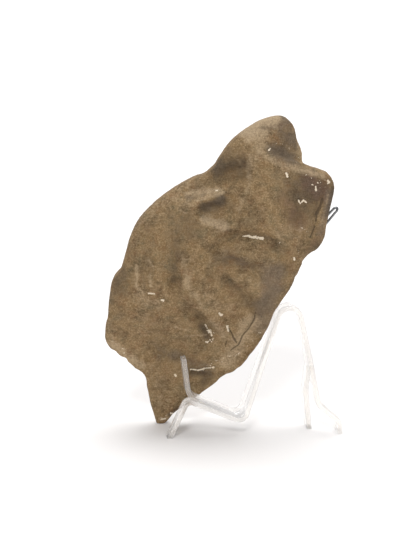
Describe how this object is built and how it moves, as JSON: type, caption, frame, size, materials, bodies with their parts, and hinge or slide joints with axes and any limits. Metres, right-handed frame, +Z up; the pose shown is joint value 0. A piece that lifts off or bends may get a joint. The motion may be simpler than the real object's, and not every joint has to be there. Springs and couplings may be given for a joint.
{
  "type": "carved limestone beast head fragment on a clear bent stand",
  "caption": "Worn brown limestone fragment carved as a beast's head with two stub ears, leaning on a clear bent acrylic stand, with a small wire loop behind.",
  "frame": {"origin": "middle of the whole part's footprint, on the floor", "axes": "+X along the stand from its front foot to its back toes, +Y away from the viewer of the carved face, +Z up"},
  "size_m": [0.1448, 0.0519, 0.1921],
  "materials": {
    "limestone": null,
    "acrylic": "clear acrylic sheet, polished, with bright cut edges",
    "wire": "dull grey drawn wire"
  },
  "bodies": {
    "root": {"limestone_head": "limestone", "acrylic_stand": "acrylic", "wire_loop": "wire"}
  },
  "joints": []
}
